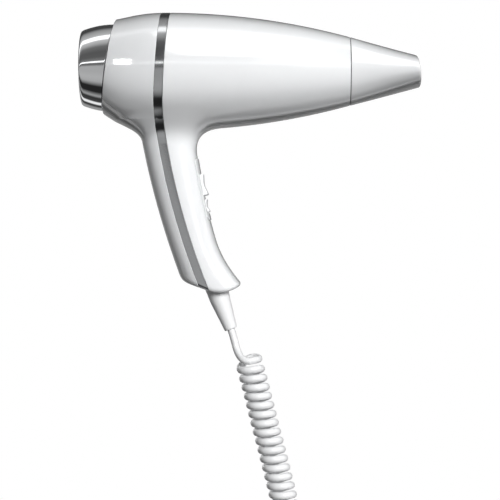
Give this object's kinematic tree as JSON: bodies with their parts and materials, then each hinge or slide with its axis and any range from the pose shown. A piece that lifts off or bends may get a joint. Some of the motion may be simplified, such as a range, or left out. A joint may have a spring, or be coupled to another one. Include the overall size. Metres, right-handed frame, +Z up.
{
  "type": "hair dryer",
  "caption": "Pistol-grip hair dryer with a tapering barrel, silver trim band, pull-off rear filter cap, turning flattened nozzle, rocker switches and curly cord with a mains plug.",
  "frame": {"origin": "centre of the grip, where a hand or a holder carries the dryer, 98 mm under the barrel axis", "axes": "+X along the barrel from the filter cap to the nozzle, +Z up, Y across the handle"},
  "size_m": [0.2483, 0.0862, 0.5881],
  "materials": {
    "white_gloss": "polished moulded plastic",
    "trim_silver": "satin silver trim",
    "chrome": "polished chrome plate",
    "dark_plastic": "moulded glass-filled plastic",
    "grille_plastic": "moulded grille",
    "filter_mesh": "woven filter",
    "switch_white": "satin moulded plastic",
    "motor_steel": "zinc-plated steel",
    "bronze": "sintered bronze",
    "magnet": "ferrite",
    "copper": "enamelled copper winding",
    "circuit_board": "circuit board",
    "capacitor_film": "dipped film capacitor",
    "mica": "mica sheet",
    "heater_wire": "resistance wire",
    "steel": "plated steel",
    "insulation": "wire insulation",
    "nylon": "natural nylon",
    "cord_white": "smooth cord sheath",
    "pin_nickel": "nickel plate",
    "fan_plastic": "moulded fan"
  },
  "bodies": {
    "housing": {"rear_shell": "white_gloss", "front_shell": "white_gloss", "trim_band": "trim_silver", "inner_duct": "dark_plastic", "guide_vanes": "dark_plastic", "motor_can": "motor_steel", "motor_endcap": "nylon", "motor_bushes": "bronze", "motor_magnets": "magnet", "rectifier_board": "circuit_board", "suppression_capacitor": "capacitor_film", "mica_tube": "mica", "mica_frame": "mica", "heater_coils": "heater_wire", "thermostat": "steel", "thermal_fuse": "steel", "outlet_grille": "dark_plastic", "upper_switch_module": "dark_plastic", "lower_switch_module": "dark_plastic", "switch_bezel": "switch_white", "wiring_harness": "insulation", "housing_screws": "steel", "cord_clamp": "nylon", "clamp_screws": "steel", "relief_collar": "cord_white", "strain_relief": "cord_white", "cord_lead": "cord_white", "cord_coil": "cord_white", "cord_tail": "cord_white", "plug_relief": "cord_white", "plug_body": "cord_white", "plug_pins": "pin_nickel"},
    "filter_cap": {"intake_collar": "chrome", "intake_grille": "grille_plastic", "lint_filter": "filter_mesh"},
    "rotor": {"motor_shaft": "steel", "armature": "copper", "impeller": "fan_plastic"},
    "nozzle_retainer": {"nozzle_ring": "dark_plastic"},
    "nozzle": {"nozzle_shell": "white_gloss"},
    "upper_switch": {"upper_rocker": "switch_white"},
    "lower_switch": {"lower_rocker": "switch_white"}
  },
  "joints": [
    {"name": "cap_pull", "type": "slide", "parent": "housing", "child": "filter_cap", "axis": [-1, 0, 0], "range_m": [0, 0.03]},
    {"name": "rotor_spin", "type": "hinge", "parent": "housing", "child": "rotor", "pos_m": [-0.03, 0, 0.098], "axis": [1, 0, 0], "continuous": true},
    {"name": "nozzle_pull", "type": "slide", "parent": "housing", "child": "nozzle_retainer", "axis": [1, 0, 0], "range_m": [0, 0.03]},
    {"name": "nozzle_turn", "type": "hinge", "parent": "nozzle_retainer", "child": "nozzle", "pos_m": [0.124, 0, 0.098], "axis": [1, 0, 0], "continuous": true},
    {"name": "upper_rock", "type": "hinge", "parent": "housing", "child": "upper_switch", "pos_m": [0.01029, 0, 0.01333], "axis": [0, 1, 0], "range_deg": [-6, 6]},
    {"name": "lower_rock", "type": "hinge", "parent": "housing", "child": "lower_switch", "pos_m": [0.01382, 0, -0.00167], "axis": [0, 1, 0], "range_deg": [-6, 6]}
  ]
}
